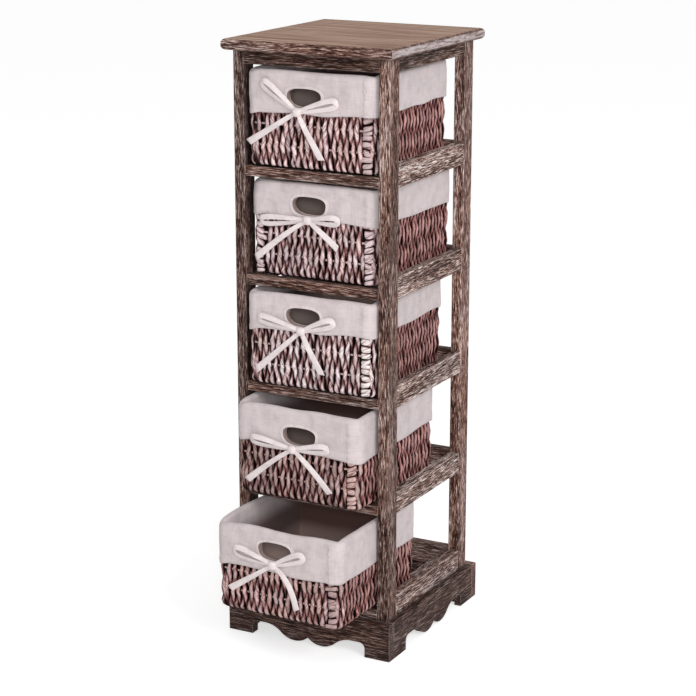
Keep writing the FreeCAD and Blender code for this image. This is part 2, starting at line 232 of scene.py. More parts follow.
# half the gap between the legs of the left and right loops, and how far each tail bends sideways
LOOP_OPENINGS = ((5.4, 5.2), (5.0, 4.8), (5.0, 5.0), (5.0, 5.0), (6.8, 5.4))
TAIL_BENDS = ((0.0, 0.0), (-0.02, 0.02), (0.0, 0.0), (-0.02, 0.04), (0.0, 0.13))
LOOP_TILTS = (66, 70)
# share of the way to the tip, share of the opening, millimetres off the cuff, width, turn of the face
LOOP_SHAPE = (
    (0.00, 0.15, 3.8, 0.55, 0), (0.36, 0.62, 5.4, 0.80, 8), (0.78, 1.0, 6.2, 1.0, 0),
    (0.97, 0.72, 5.4, 1.0, -52), (1.00, 0.0, 4.6, 1.0, -90), (0.97, -0.72, 3.9, 1.0, -128),
    (0.78, -1.0, 3.3, 1.0, -180), (0.36, -0.62, 2.9, 0.80, -188), (0.00, -0.15, 2.4, 0.55, -180),
)
# share of the way to the end, millimetres off the cuff, width, turn of the face
TAIL_SHAPE = (
    (0, 2.6, 0.58, 0.1), (0.25, 4.4, 0.78, 0.4), (0.5, 4.0, 0.86, 0.3), (0.75, 3.0, 0.98, 0.1),
    (1.0, 2.4, 1.1, -0.1),
)
TAIL_SLANTS = (1.2, 2.4)
RIBBON_WIDTH = 8.6 * MM
LOOP_WIDTH = 7.4 * MM
RIBBON_HALF_THICKNESS = 0.35 * MM
RIBBON_STEPS = 7
TAPE_FACE = np.array([(1, 0.6), (0.7, 1), (0, 1.15), (-0.7, 1), (-1, 0.6)])
TAPE_SECTION = np.vstack([TAPE_FACE, -TAPE_FACE])
KNOT_GRID = (13, 24)
KNOT_HALF_SIZE = (6.2 * MM, 4.6 * MM, 6.0 * MM)
KNOT_HEIGHT = 3.8 * MM
KNOT_LEAN = 0.25

# Wood: places on a ramp and screen colours of the brushed faces, the end grain and the top face
WOOD_TONES = (
    (0.44, (18, 5, 3)), (0.475, (62, 36, 28)), (0.51, (104, 75, 66)), (0.55, (150, 125, 118)),
    (0.60, (224, 211, 207)))
END_TONES = ((0.36, (100, 84, 82)), (0.46, (164, 149, 147)), (0.62, (206, 194, 194)))
TOP_TONES = ((0.40, (134, 100, 82)), (0.5, (172, 138, 119)), (0.60, (202, 173, 154)))
# pale edges, partly wear and partly a painted highlight along the edges: colour, width and strength
WORN_AND_HIGHLIGHT_WOOD = (214, 194, 187)
EDGE_WEAR_AND_HIGHLIGHT_RADIUS = 1.6 * MM
EDGE_WEAR_AND_HIGHLIGHT_SHARE = 0.8
# reach of the painted shade in corners and joints
PAINTED_SHADE_DISTANCE = 16 * MM


# Small helpers

def paint(red, green, blue):
    """Linear colour from screen values of 0 to 255."""
    def linear(value):
        share = value / 255
        return share / 12.92 if share <= 0.04045 else ((share + 0.055) / 1.055) ** 2.4
    return (linear(red), linear(green), linear(blue), 1.0)


def grey(value):
    return (value, value, value, 1.0)


def unit(vectors):
    return vectors / np.linalg.norm(vectors, axis=-1, keepdims=True)


def bend(values, power):
    """A power that keeps the sign."""
    return np.sign(values) * np.abs(values) ** power


def flat(points, height):
    """Plan points as points in space at one height, or at a height for each."""
    return np.column_stack([points, np.broadcast_to(height, len(points))])


def smooth_line(rows, per_span):
    """Catmull-Rom curve through rows of values, ends included."""
    rows = np.asarray(rows, float)
    rows = np.vstack([2 * rows[0] - rows[1], rows, 2 * rows[-1] - rows[-2]])
    t = np.linspace(0, 1, per_span, endpoint=False)[:, None]
    spans = []
    for a, b, c, d in zip(rows, rows[1:], rows[2:], rows[3:]):
        cubic = 2 * b + (c - a) * t + (2 * a - 5 * b + 4 * c - d) * t**2 + (3 * b - a - 3 * c + d) * t**3
        spans.append(cubic / 2)
    return np.vstack(spans + [rows[-2][None]])


def round_section(rings, sides, twist=None, lobe=0.0):
    """An oval section for each ring, with two lobes that turn by the twist."""
    angle = 2 * np.pi * np.arange(sides) / sides
    twist = np.zeros(rings) if twist is None else twist
    radius = 1 + lobe * np.cos(2 * (angle[None, :] - twist[:, None]))
    return np.stack([radius * np.cos(angle), radius * np.sin(angle)], -1)


def plan_ring(basket, offset, radius, steps):
    """Points and outward normals round a basket's plan, from the left end of its front, rightwards."""
    straight, corner = steps
    half_x, half_y = basket.half_x + offset, basket.half_y + offset
    inner_x, inner_y = half_x - radius, half_y - radius
    share = np.linspace(0, 1, straight, endpoint=False)
    points, normals = [], []
    for turn in range(4):
        heading = -math.pi / 2 + turn * math.pi / 2
        normal = np.array([round(math.cos(heading)), round(math.sin(heading))])
        along = np.array([-normal[1], normal[0]])
        reach = abs(along[0]) * inner_x + abs(along[1]) * inner_y
        out = abs(normal[0]) * half_x + abs(normal[1]) * half_y
        points.append(normal * out + along * (2 * share[:, None] - 1) * reach)
        normals.append(np.repeat(normal[None], straight, 0))
        middle = normal * (out - radius) + along * reach
        around = heading + np.linspace(0, math.pi / 2, corner, endpoint=False)
        outward = np.stack([np.cos(around), np.sin(around)], 1)
        points.append(middle + radius * outward)
        normals.append(outward)
    return np.vstack(points), np.vstack(normals).astype(float)


def ring_faces(rings, sides, closed=False):
    """Four-sided faces between rings of points, and from last to first if they close."""
    ring = np.arange(rings if closed else rings - 1)[:, None] * sides
    step = np.arange(sides)[None, :]
    turn = (step + 1) % sides
    after = (ring + sides) % (rings * sides)
    return np.stack([ring + step, ring + turn, after + turn, after + step], -1).reshape(-1, 4).tolist()


def end_faces(rings, sides):
    """The faces that close the first and the last ring."""
    return [list(range(sides - 1, -1, -1)), list(range((rings - 1) * sides, rings * sides))]


def add_object(name, data):
    piece = bpy.data.objects.new(name, data)
    bpy.context.scene.collection.objects.link(piece)
    return piece


def finish_mesh(mesh, place, material):
    """A smooth shaded object of the mesh, with the basket's place put into its points."""
    mesh.transform(place)
    mesh.validate()
    mesh.polygons.foreach_set("use_smooth", [True] * len(mesh.polygons))
    mesh.materials.append(material)
    return add_object(mesh.name, mesh)


class Pile:
    """Gathers shapes into one mesh, with a colour and a fibre coordinate at each point. The colour's fourth
    value tells how far out a point stands, less on the sides and the back of a tube, and is painted shade
    where low."""

    def __init__(self):
        self.points, self.faces, self.tints, self.fibres = [], [], [], []
        self.count = 0

    def add(self, points, faces, tint, fibre):
        self.faces.extend([tuple(index + self.count for index in face) for face in faces])
        self.points.append(points)
        self.tints.append(tint)
        self.fibres.append(fibre)
        self.count += len(points)

    def sweep(self, centres, across, outward, widths, depths, section, tint, high=1.0,
              closed=False, twist=0.0, seed=0.0):
        """A tube along the centres, with directions and sizes for each ring or once for all."""
        rings, sides = section.shape[:2]
        across, outward = (np.broadcast_to(way, centres.shape) for way in (across, outward))
        widths, depths, high = (np.broadcast_to(value, rings)[:, None] for value in (widths, depths, high))
        wide = across[:, None, :] * (widths * section[:, :, 0])[:, :, None]
        deep = outward[:, None, :] * (depths * section[:, :, 1])[:, :, None]
        points = (centres[:, None, :] + wide + deep).reshape(-1, 3)
        faces = ring_faces(rings, sides, closed)
        if not closed:
            faces += end_faces(rings, sides)
        along = np.append(0, np.cumsum(np.linalg.norm(np.diff(centres, axis=0), axis=1)))
        colour = np.empty((rings, sides, 4))
        colour[:, :, :3] = np.atleast_2d(tint)[:, None, :3]
        # painted shade: the flanks and the back of a tube get a lower value and render darker
        colour[:, :, 3] = high * np.clip(section[:, :, 1], 0, 1) ** 1.5
        turned = (2 * np.pi * np.arange(sides) / sides)[None, :] - np.reshape(twist, (-1, 1))
        fibre = np.broadcast_arrays(np.sin(turned), np.cos(turned), along[:, None] / MM + 500 * seed)
        self.add(points, faces, colour.reshape(-1, 4), np.stack(fibre, -1).reshape(-1, 3))

    def make(self, name, place, material):
        mesh = bpy.data.meshes.new(name)
        mesh.from_pydata(np.vstack(self.points).tolist(), [], self.faces)
        tint = mesh.attributes.new("tint", "FLOAT_COLOR", "POINT").data
        tint.foreach_set("color", np.vstack(self.tints).ravel())
        fibre = mesh.attributes.new("fibre", "FLOAT_VECTOR", "POINT").data
        fibre.foreach_set("vector", np.vstack(self.fibres).ravel())
        return finish_mesh(mesh, place, material)


# Baskets as the frame holds them

def basket_frame(tier):
    """Place, turn and sizes of a basket, read from its solids."""
    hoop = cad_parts[f"rim_hoop_{tier}"].data
    spans = [[hoop.vertices[i].co for i in edge.vertices] for edge in hoop.edges]
    start, end = max(spans, key=lambda span: abs(span[1].x - span[0].x))
    turn = math.atan((end.y - start.y) / (end.x - start.x))
    low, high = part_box(f"rim_hoop_{tier}")
    middle = (low + high) / 2
    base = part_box(f"basket_{tier}")[0].z
    place = Matrix.Translation((middle.x, middle.y, base)) @ Matrix.Rotation(turn, 4, "Z")
    back = place.inverted()
    corners = [back @ vertex.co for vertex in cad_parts[f"basket_{tier}"].data.vertices]
    index = tier - 1
    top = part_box(f"liner_{tier}")[1].z - base
    hole_z = top - HOLE_DROPS[index] * MM - HOLE_HALF_HEIGHT
    hole_x = HOLE_OFFSETS[index] * MM
    return SimpleNamespace(
        tier=tier, body=f"basket_unit_{tier}", place=place, top=top, hole_x=hole_x, hole_z=hole_z,
        half_x=max(abs(corner.x) for corner in corners),
        half_y=max(abs(corner.y) for corner in corners),
        height=max(corner.z for corner in corners),
        hole_foot=hole_z - HOLE_HALF_HEIGHT,
        knot_x=hole_x + KNOT_OFFSETS[index] * MM,
        knot_z=hole_z - HOLE_HALF_HEIGHT - KNOT_BELOW_HOLE,
    )


# Woven baskets

def strand_tint(base, draw):
    """Colour of one strand, a little lighter or darker and warmer or cooler than its base."""
    shade = draw.uniform(0.86, 1.07)
    warmth = draw.uniform(-3, 5)
    return np.array(paint(*np.clip(base * shade + np.array([warmth, 0, -warmth]), 0, 250))[:3])


def wall_run(outer, normal, top, floor_run):
    """Middle line of a strand down the wall and in under the floor, with the outward direction and the way
    up the wall at each point."""
    down = np.arange(top, BOTTOM_RADIUS, -STRAND_STEP)
    under = np.arange(FLOOR_STEP, floor_run, FLOOR_STEP)
    angle = np.pad(np.linspace(0, math.pi / 2, EDGE_STEPS), (len(down), len(under)), "edge")
    rise = np.pad(down - BOTTOM_RADIUS, (0, EDGE_STEPS + len(under)))
    run = np.pad(under, (len(down) + EDGE_STEPS, 0))
    bend_in, bend_up = BOTTOM_RADIUS - WALL_MIDDLE, BOTTOM_RADIUS - FLOOR_MIDDLE
    inward = BOTTOM_RADIUS - bend_in * np.cos(angle) + run
    height = BOTTOM_RADIUS - bend_up * np.sin(angle) + rise
    climb = BOTTOM_RADIUS - bend_up * angle + rise - run
    line = flat(outer - np.outer(inward, normal), height)
    return line, flat(np.outer(np.cos(angle), normal), -np.sin(angle)), climb


def add_strand(pile, run, across, odd, tint, draw):
    """One twisted strand: broad where it swings out over a rod, narrow where it dives under the next."""
    line, outward, climb = run
    phase = np.pi * ((climb - FIRST_ROD) / ROD_SPACING + odd) + draw.uniform(-PHASE_JITTER, PHASE_JITTER)
    wave = np.cos(phase)
    over = 0.5 + 0.5 * wave
    size = draw.uniform(*STRAND_SIZES)
    lean = draw.uniform(-STRAND_LEAN, STRAND_LEAN) * np.sin(phase / 2 + draw.uniform(0, FULL_TURN))
    wander = STRAND_WANDER * np.sin(climb / draw.uniform(*WANDER_LENGTHS) + draw.uniform(0, FULL_TURN))
    swing = WEAVE_SWING * wave * (1 - FLOOR_CALM * np.abs(outward[:, 2]))
    centres = line + outward * swing[:, None] + across * (lean + wander)[:, None]
    widths = STRAND_HALF_WIDTH * size * (0.34 + 0.66 * over**1.1)
    depths = STRAND_HALF_DEPTH * size * (0.80 + 0.25 * over)
    turns = climb / draw.uniform(*TWIST_LENGTHS) * draw.choice((-1, 1))
    twist = 2 * np.pi * turns + draw.uniform(0, FULL_TURN)
    section = round_section(len(line), STRAND_SIDES, twist, TWIST_LOBE)
    # lower where the strand dives under a rod, painted shade there
    high = 0.3 + 0.7 * over
    seed = draw.uniform(0, 1)
    pile.sweep(centres, across, outward, widths, depths, section, tint, high, twist=twist, seed=seed)


def add_wraps(pile, basket, side, end, tint, draw):
    """One strand wound unevenly round a hidden stake beside an upright edge."""
    turns = int((basket.height - WRAP_FOOT) / WRAP_PITCH)
    count = np.arange(turns + 1)
    rises = np.array([draw.uniform(*WRAP_RISES) for _ in range(turns)])
    rises *= turns / rises.sum()
    levels = WRAP_FOOT + WRAP_PITCH * np.append(0, np.cumsum(rises))
    room = (np.append(rises[0], rises) + np.append(rises, rises[-1])) / 2
    slants = np.array([draw.uniform(*WRAP_SLANTS) for _ in count])
    reach = np.array([
        draw.uniform(-WRAP_REACH, WRAP_REACH) + WRAP_LONG_REACH * (draw.random() < WRAP_LONG_SHARE)
        for _ in count])
    angle = np.linspace(0, 2 * np.pi * turns, WRAP_POINTS * turns + 1)
    whole = np.floor(angle / (2 * np.pi)).astype(int)
    back = np.clip(angle / np.pi - 2 * whole - 1, 0, 1)
    climb = whole + back * back * (3 - 2 * back)
    around, outside = np.cos(angle), np.sin(angle)
    at_left = side == end
    half = WRAP_HALF_WIDTH * (LEFT_WRAP_WIDTH if at_left else 1) + np.where(around < 0, reach[whole], 0)
    inset = WRAP_INSET - (LEFT_WRAP_SHIFT if at_left else 0)
    slant = np.interp(angle / (2 * np.pi), count, slants)
    centres = np.column_stack([
        side * (basket.half_x - inset + half * bend(around, 0.8)),
        end * (basket.half_y - WALL_MIDDLE + WRAP_HALF_DEPTH * bend(outside, 0.6)),
        np.interp(climb, count, levels) + slant * around,
    ])
    outward = np.column_stack([side * around, end * outside, np.zeros(len(angle))])
    above_foot = (centres[:, 2] - WRAP_FOOT_ROOM) / (1 + TWIST_LOBE)
    widths = np.minimum(BEAD_WIDTH * np.interp(climb, count, room), above_foot)
    twist = angle * WRAP_TWIST
    section = round_section(len(angle), STRAND_SIDES, twist, TWIST_LOBE)
    # lower on the inner side of each turn, painted shade there
    high = 0.85 + 0.45 * outside
    seed = draw.uniform(0, 1)
    pile.sweep(centres, UPWARD, outward, widths, BEAD_DEPTH, section, tint, high, twist=twist, seed=seed)


def add_rods(pile, basket, front_tint, side_tint):
    """Level rods that the strands pass over and under, from the base up to the hand hole."""
    heights = np.arange(FIRST_ROD, basket.hole_foot - 2 * ROD_RADIUS, ROD_SPACING)
    # the base rod gets 0 and is painted dark as shade
    levels = [(BASE_ROD_HEIGHT, BASE_ROD_RADIUS, BASE_ROD_INSET, 0.0)]
    levels += [(height, ROD_RADIUS, ROD_INSET, 0.9) for height in heights]
    for height, radius, inset, high in levels:
        points, normals = plan_ring(basket, -inset, CORNER_RADIUS - inset, ROD_STEPS)
        tint = np.where(normals[:, 1:] < -0.5, front_tint, side_tint)
        section = round_section(len(points), 6)
        pile.sweep(
            flat(points, height), UPWARD, flat(normals, 0), radius, radius, section, tint, high, closed=True)


def add_shade_core(pile, basket):
    """A thin dark closed tray behind the strands up to the hand hole, painted shade seen through the gaps.
    """
    top = basket.hole_foot - CORE_BELOW_HOLE
    rings = []
    for inset, height in CORE_RINGS:
        ring, _ = plan_ring(basket, -inset * MM, CORE_RADIUS, CORE_STEPS)
        rings.append(flat(ring, top if height is None else height * MM))
    count = len(rings[0])
    points = np.vstack(rings)
    faces = ring_faces(len(rings), count) + end_faces(len(rings), count)
    # painted shade: near black, with no lift
    tint = np.tile((*paint(*GAP_SHADE_WICKER)[:3], 0.0), (len(points), 1))
    pile.add(points, faces, tint, np.zeros((len(points), 3)))


def woven_basket(basket, material):
    """Strands over level rods, wound or filled upright edges and a floor of the front strands."""
    draw = random.Random(basket.tier)
    pile = Pile()
    front_wicker = FRONT_WICKER[basket.tier - 1]
    top = basket.height - WEAVE_TOP_GAP
    reach = basket.half_y - BOTTOM_RADIUS
    for number in range(FRONT_STRANDS):
        x = FRONT_PITCH * (number - (FRONT_STRANDS - 1) / 2) + draw.uniform(-PLACE_JITTER, PLACE_JITTER)
        at_hole = abs(x - basket.hole_x) < HOLE_HALF_WIDTH + HOLE_CLEARANCE
        front_top = basket.hole_foot - STRAND_BELOW_HOLE if at_hole else top
        front = wall_run((x, -basket.half_y), (0, -1), front_top, reach)
        rear = wall_run((x, basket.half_y), (0, 1), top, reach)
        run = [np.concatenate([ahead, behind[::-1]]) for ahead, behind in zip(front, rear)]
        pale, dull = strand_tint(front_wicker, draw), strand_tint(SIDE_WICKER, draw)
        share = np.clip(0.5 + 1.5 * run[0][:, 1:2] / basket.half_y, 0, 1)
        add_strand(pile, run, RIGHT, number % 2, pale + (dull - pale) * share, draw)
    for side in (-1, 1):
        across = np.array([0.0, side, 0.0])
        span = basket.half_y - CORNER_RADIUS
        for number in range(SIDE_STRANDS):
            y = span * (2 * (number + 0.5) / SIDE_STRANDS - 1) + draw.uniform(-PLACE_JITTER, PLACE_JITTER)
            run = wall_run((side * basket.half_x, y), (side, 0), top, 0)
            add_strand(pile, run, across, number % 2, strand_tint(SIDE_WICKER, draw), draw)
        for end in (-1, 1):
            middle = np.array([side * (basket.half_x - CORNER_RADIUS), end * span])
            base = front_wicker if end < 0 else SIDE_WICKER
            wound = side != end or (end < 0 and basket.tier in LEFT_WRAP_TIERS)
            angles = CORNER_STRAND_ANGLES if wound else (FILL_ANGLE, *CORNER_STRAND_ANGLES)
            for number, degrees in enumerate(angles):
                angle = math.radians(degrees)
                heading = np.array([side * math.sin(angle), end * math.cos(angle)])
                along = np.array([-heading[1], heading[0], 0.0])
                run = wall_run(middle + CORNER_RADIUS * heading, heading, top, 0)
                add_strand(pile, run, along, number % 2, strand_tint(base, draw), draw)
            if wound:
                add_wraps(pile, basket, side, end, strand_tint(base, draw), draw)
                continue
            for number in range(FILL_STRANDS):
                x = side * FRONT_PITCH * ((FRONT_STRANDS + 1) / 2 + number)
                run = wall_run((x, end * basket.half_y), (0, end), top, 0)
                add_strand(pile, run, RIGHT, (number + 1) % 2, strand_tint(base, draw), draw)
    add_rods(pile, basket, strand_tint(front_wicker, draw), strand_tint(SIDE_WICKER, draw))
    add_shade_core(pile, basket)
    piece = pile.make(f"woven_basket_{basket.tier}", basket.place, material)
    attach(piece, basket.body)
    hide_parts(f"basket_{basket.tier}")
    return piece


# Cotton liners

def hole_outline(count):
    """Points round the hand hole, about its middle, in X and Z."""
    angle = 2 * np.pi * np.arange(count) / count
    wide, tall = bend(np.cos(angle), 2 / HOLE_POWER), bend(np.sin(angle), 2 / HOLE_POWER)
    return np.column_stack([HOLE_HALF_WIDTH * wide * (1 + HOLE_TAPER * tall), HOLE_HALF_HEIGHT * tall])


def hole_reach(basket, x, z):
    """1 on the outline of the hand hole, less inside and more outside."""
    tall = (z - basket.hole_z) / HOLE_HALF_HEIGHT
    wide = (x - basket.hole_x) / (HOLE_HALF_WIDTH * (1 + HOLE_TAPER * np.clip(tall, -1, 1)))
    return (np.abs(wide) ** HOLE_POWER + np.abs(tall) ** HOLE_POWER) ** (1 / HOLE_POWER)


def cuff_depth(basket, x, y):
    """Depth of the folded cuff, which differs from corner to corner."""
    front_left, front_right, rear_right, rear_left = CUFF_DEPTHS[basket.tier - 1]
    right, rear = (x / basket.half_x + 1) / 2, (y / basket.half_y + 1) / 2
    front_depth = front_left + (front_right - front_left) * right
    rear_depth = rear_left + (rear_right - rear_left) * right
    return (front_depth + (rear_depth - front_depth) * rear) * MM


def liner_rows(basket):
    """Rows of points up the cuff, over the rim, down the lining and in over the floor, how far inside they
    are as lining bands, with a brown band of painted shade in the lower baskets, and the outward direction
    of each column."""
    tier = basket.tier
    plan, normals = plan_ring(basket, 0, CORNER_RADIUS, LINER_STEPS)
    x, y = plan.T
    rows, inside = [], []

    def row(offset, height, bulge, within):
        radius = max(CORNER_RADIUS + offset, 3 * MM)
        ring, _ = plan_ring(basket, offset, radius, LINER_STEPS)
        points = flat(ring, height)
        points[:, :2] += normals * np.reshape(bulge, (-1, 1))
        rows.append(points)
        inside.append(np.full(len(points), within))

    def ripple(height, wide, tall, start):
        """Smooth noise for each column, with features of the given width and height."""
        levels = np.broadcast_to(height, len(plan)) / tall + start
        return np.array([noise.noise(Vector((*spot, level))) for spot, level in zip(plan / wide, levels)])

    def folds(height, spacing, seed):
        return ripple(height, spacing, spacing, 17.3 * seed)

    def creases(height):
        return ripple(height, *LEVEL_CREASE, 7 * tier) + ripple(height, *UPRIGHT_CREASE, 9 * tier)

    def calm(height):
        """0 at the hand hole, 1 away from it."""
        share = np.clip(hole_reach(basket, x, height) - 1.15, 0, 0.8) / 0.8
        return np.where(normals[:, 1] < -0.9, share, 1)

    facing = np.abs(normals[:, 1])
    loose = 0.15 + 0.85 * facing
    seam_x = np.where(y < 0, 1, -1) * (basket.half_x - SEAM_INSET)
    seam = facing * np.exp(-(((x - seam_x) / PUCKER_REACH) ** 2))
    from_corner = np.hypot(basket.half_x - np.abs(x), basket.half_y - np.abs(y))
    dip = np.where(x < 0, LEFT_DIP, RIGHT_DIP) * np.exp(-((from_corner / DIP_REACH) ** 2))
    waves = folds(0, RIM_SPACING, tier) * RIM_WAVES[tier - 1] * MM
    depth = cuff_depth(basket, x, y) + folds(0.3, HEM_SPACING, tier) * HEM_WAVE
    top = basket.top + waves + RIM_LIFTS[tier - 1] * MM - dip
    shoulder = top - RIM_RISE
    for step in range(CUFF_ROWS + 1):
        share = step / CUFF_ROWS
        height = top - depth + (depth - RIM_RISE) * share
        belly = CUFF_BELLY * math.sin(math.pi * share) + HEM_BELLY * (height - top + depth < HEM_DEPTH)
        phase = height / PUCKER_LENGTH + 3 * folds(height, PUCKER_SPACING, tier + 3)
        pucker = seam * (0.7 + 0.9 * np.sin(phase)) * MM
        small = SMALL_FOLD * folds(height, SMALL_SPACING, tier + 9) + CREASE_HEIGHT * creases(height)
        bulge = loose * (BROAD_FOLD * folds(height, BROAD_SPACING, tier + 5) + belly + small) + pucker
        row(CUFF_OFFSET, height, bulge * calm(height), 0.0)
    middle, half = (CUFF_OFFSET + LINING_OFFSET) / 2, (CUFF_OFFSET - LINING_OFFSET) / 2
    for step in range(1, RIM_ROWS):
        angle = math.pi * step / RIM_ROWS
        row(middle + half * math.cos(angle), shoulder + RIM_RISE * math.sin(angle), 0, 0.0)
    for step in range(LINING_ROWS + 1):
        share = step / LINING_ROWS
        height = shoulder + (LINING_FOOT - shoulder) * share
        slack = -LINING_SLACK * np.abs(folds(height, BROAD_SPACING, tier + 13)) * math.sin(math.pi * share)
        below = basket.top - float(height.mean())
        # the brown band in the lower tiers is painted shade inside the basket
        within = np.interp(below, LINING_BANDS, SHADED_LOWER_LINING if tier in SHADED_LINING_TIERS else UPPER_LINING)
        row(LINING_OFFSET, height, slack * calm(height), within)
    for inset, height in FLOOR_RINGS:
        row(LINING_OFFSET - inset * MM, LINING_FLOOR + height * MM, 0, 2.0)
    return np.array(rows), np.array(inside), normals


def cut_hole(basket, rows, normals):
    """Moves the points next to the hand hole onto its outline, and says which points fall inside it."""
    far_outside = 9.0
    reach = hole_reach(basket, rows[:, :, 0], rows[:, :, 2])
    reach[:, normals[:, 1] >= -0.99] = far_outside
    last_wall_row = CUFF_ROWS + RIM_ROWS + LINING_ROWS
    reach[last_wall_row:] = far_outside
    inside = reach < 1
    snapped = np.zeros_like(inside)
    for axis in (0, 1):
        crossed = inside != np.roll(inside, -1, axis)
        near = np.abs(reach - 1) <= np.abs(np.roll(reach, -1, axis) - 1)
        snapped |= crossed & near
        snapped |= np.roll(crossed & ~near, 1, axis)
    middle = np.array([basket.hole_x, basket.hole_z])
    for ring, step in np.argwhere(snapped):
        offset = rows[ring, step, [0, 2]] - middle
        rows[ring, step, [0, 2]] = middle + offset / reach[ring, step]
    return inside & ~snapped


def cotton_liner(basket, material):
    """One sheet: cuff, rounded fold over the rim, lining and floor, open at the hand hole."""
    rows, inside, normals = liner_rows(basket)
    gone = cut_hole(basket, rows, normals).ravel()
    rings, count = rows.shape[:2]
    kept = [[index for index in face if not gone[index]] for face in ring_faces(rings, count)]
    faces = [face for face in kept if len(face) > 2]
    faces.append(end_faces(rings, count)[1])
    used, numbers = np.unique(np.concatenate(faces), return_inverse=True)
    numbers = np.split(numbers, np.cumsum([len(face) for face in faces])[:-1])
    mesh = bpy.data.meshes.new(f"cotton_liner_{basket.tier}")
    mesh.from_pydata(rows.reshape(-1, 3)[used].tolist(), [], [face.tolist() for face in numbers])
    mesh.attributes.new("inside", "FLOAT", "POINT").data.foreach_set("value", inside.ravel()[used])
    piece = finish_mesh(mesh, basket.place, material)
    thick = piece.modifiers.new("thickness", "SOLIDIFY")
    thick.thickness = CLOTH_THICKNESS
    thick.offset = 0
    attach(piece, basket.body)
    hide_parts(f"liner_{basket.tier}", f"rim_hoop_{basket.tier}")
    hem_row = rows[2] + flat(normals, 0) * (CLOTH_THICKNESS / 2 + 0.1 * MM)
    return piece, hem_row, normals, seam_stitches(basket, rows, normals)


def seam_stitches(basket, rows, normals):
    """Ends and outward direction of the zigzag stitches up the two seams of the cuff."""
    stitches = []
    for end in (-1, 1):
        face = np.flatnonzero(end * normals[:, 1] > 0.99)
        step = face[np.argmin(np.abs(rows[0, face, 0] + end * (basket.half_x - SEAM_INSET)))]
        outward = np.array([0.0, end, 0.0])
        line = rows[:CUFF_ROWS + 1, step] + outward * (CLOTH_THICKNESS / 2 + 0.2 * MM)
        line[:, 0] += np.where(np.arange(len(line)) % 2, 1, -1) * SEAM_HALF_WIDTH
        stitches += [(start, after, outward) for start, after in zip(line, line[1:])]
    return stitches


def add_stitch(pile, start, end, outward, radius=STITCH_RADIUS):
    """One raised stitch."""
    rows = np.array([start, 0.5 * (start + end) + outward * STITCH_BOW, end])
    across = np.cross(unit(end - start), outward)
    size = np.array([0.43, 1.0, 0.43]) * radius
    pile.sweep(rows, across, outward, size, size, round_section(3, 5), WHITE)


def liner_trim(basket, hem_row, normals, seams, material):
    """The faced edge of the hand hole, the sleeve through the wall tinted dark as painted shade, and all
    stitches.
    """
    pile = Pile()
    outline = hole_outline(HOLE_POINTS)
    tangent = unit(np.roll(outline, -1, 0) - np.roll(outline, 1, 0))
    away = np.column_stack([tangent[:, 1], np.zeros(HOLE_POINTS), -tangent[:, 0]])
    face_y = -(basket.half_y + CUFF_OFFSET + CLOTH_THICKNESS / 2)
    back_y = -(basket.half_y + LINING_OFFSET - CLOTH_THICKNESS)
    edge = np.insert(outline + (basket.hole_x, basket.hole_z), 1, face_y, axis=1)

    def band(middle, half_width, half_depth, tint, sides):
        section = round_section(HOLE_POINTS, sides)
        pile.sweep(middle, away, FORWARD, half_width, half_depth, section, tint, closed=True)

    for offset, half_width, half_depth in HOLE_BANDS:
        band(edge + away * offset * MM, half_width * MM, half_depth * MM, WHITE, 8)
    sleeve_middle = edge + away * SLEEVE_OFFSET
    sleeve_middle[:, 1] = (face_y + back_y) / 2
    # the sleeve is tinted dark, painted shade inside the hand hole
    band(sleeve_middle, SLEEVE_HALF_WIDTH, (back_y - face_y) / 2, SLEEVE_SHADE_TINT, 12)
    stitch_line = edge + away * STITCH_OFFSET + FORWARD * STITCH_LIFT
    for start, end in zip(stitch_line[::2], stitch_line[1::2]):
        add_stitch(pile, start, end, FORWARD)
    for start, after, normal in zip(hem_row, np.roll(hem_row, -1, 0), normals):
        add_stitch(pile, start, start + STITCH_SHARE * (after - start), np.append(normal, 0))
    for start, end, outward in seams:
        add_stitch(pile, start, end, outward, SEAM_STITCH_RADIUS)
    piece = pile.make(f"liner_trim_{basket.tier}", basket.place, material)
    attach(piece, basket.body)
    return piece


# Ribbon bows

def add_ribbon(pile, rows, slant=0.0):
    """A flat tape through rows of a point, the way its face looks and its width."""
    rows = smooth_line(rows, RIBBON_STEPS)
    centres = rows[:, :3]
    along = unit(np.gradient(centres, axis=0))
    across = unit(np.cross(along, rows[:, 3:6]))
    face = unit(np.cross(across, along))
    section = np.repeat(TAPE_SECTION[None], len(rows), 0)
    pile.sweep(centres, across, face, rows[:, 6] / 2, RIBBON_HALF_THICKNESS, section, WHITE, seed=rows[0, 0])
    end = pile.points[-1][-len(TAPE_SECTION):]
    end += along[-1] * (TAPE_SECTION[:, :1] * slant)


def add_loop(pile, knot, tip, opening, tilt):
    """A loop of ribbon that leaves the knot above, turns at the tip and comes back below."""
    reach = math.hypot(*tip)
    along = np.array([tip[0], 0, tip[1]]) / reach
    upward = np.array([-along[2], 0, along[0]]) * (1 if along[0] > 0 else -1)
    rows = []
    for share, side, depth, width, heading in LOOP_SHAPE:
        point = knot + along * share * reach + upward * side * opening + FORWARD * depth * MM
        angle = math.radians(90 + heading)
        outward = along * math.cos(angle) + upward * math.sin(angle)
        look = outward * math.cos(tilt) + FORWARD * math.sin(tilt)
        rows.append([*point, *look, width * LOOP_WIDTH])
    add_ribbon(pile, rows)


